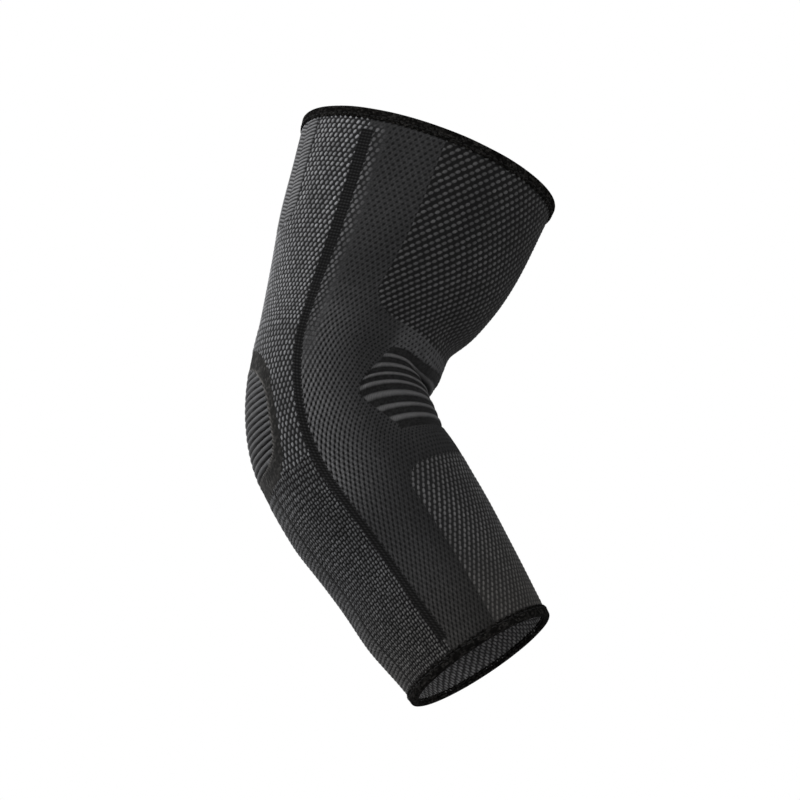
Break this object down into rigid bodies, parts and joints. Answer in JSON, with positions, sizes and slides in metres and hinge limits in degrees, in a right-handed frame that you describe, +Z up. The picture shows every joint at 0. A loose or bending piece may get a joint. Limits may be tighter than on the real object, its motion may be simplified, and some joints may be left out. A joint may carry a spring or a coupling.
{
  "type": "elbow pad",
  "caption": "Knitted compression elbow pad: a bent tubular sleeve with a ribbed pad over the elbow tip, pleats in the crook and bound edges.",
  "frame": {"origin": "centre of the upper-arm opening", "axes": "+Z up, +X towards the crook of the elbow, +Y towards the inner side of the arm; the sleeve bends in the XZ plane"},
  "size_m": [0.1375, 0.091, 0.2671],
  "materials": {
    "knit_inner": "fine plain knit, matt",
    "knit_back": "coarse two-tone knit, matt",
    "knit_forearm_back": "bobbled two-tone knit, matt",
    "knit_side": "fine dotted knit, matt",
    "knit_mesh": "open mesh knit, matt",
    "knit_stripe": "cross-ribbed black knit",
    "knit_herringbone": "herringbone knit, matt",
    "knit_pleat": "deep pleated rib knit",
    "pad_rib": "ribbed padded knit",
    "pad_ring": "plain dense knit",
    "edge_tape": "folded elastic tape",
    "sewing_thread": "spun polyester thread"
  },
  "bodies": {
    "upper_arm": {"upper_inner_tube": "knit_inner", "upper_binding": "edge_tape", "upper_binding_thread": "sewing_thread", "upper_mesh_panel": "knit_mesh", "upper_side_lateral": "knit_side", "upper_side_medial": "knit_side", "upper_stripe_lateral": "knit_stripe", "upper_stripe_medial": "knit_stripe", "upper_back_flank_lateral": "knit_back", "upper_back_flank_medial": "knit_back", "herringbone_panel": "knit_herringbone", "upper_back_panel": "knit_back", "crook_inner": "knit_inner", "elbow_inner": "knit_inner", "crook_pleats": "knit_pleat", "crook_band_upper": "knit_side", "crook_band_lower": "knit_side", "elbow_side_lateral": "knit_side", "elbow_side_medial": "knit_side", "elbow_stripe_lateral": "knit_stripe", "elbow_stripe_medial": "knit_stripe", "elbow_back_lateral": "knit_back", "elbow_back_medial": "knit_back", "elbow_ring": "pad_ring", "elbow_pad_ribs": "pad_rib"},
    "forearm": {"forearm_inner_tube": "knit_inner", "forearm_binding": "edge_tape", "forearm_binding_thread": "sewing_thread", "forearm_mesh_panel": "knit_mesh", "forearm_side_lateral": "knit_side", "forearm_side_medial": "knit_side", "forearm_stripe_lateral": "knit_stripe", "forearm_stripe_medial": "knit_stripe", "forearm_back_panel": "knit_forearm_back"}
  },
  "joints": [
    {"name": "elbow_flex", "type": "hinge", "parent": "upper_arm", "child": "forearm", "pos_m": [-0.03781, 0, -0.12348], "axis": [0, -1, 0], "range_deg": [-50, 45], "deforming": ["crook_inner", "elbow_inner", "crook_pleats", "crook_band_upper", "crook_band_lower", "elbow_side_lateral", "elbow_side_medial", "elbow_stripe_lateral", "elbow_stripe_medial", "elbow_back_lateral", "elbow_back_medial", "elbow_ring", "elbow_pad_ribs"]}
  ]
}
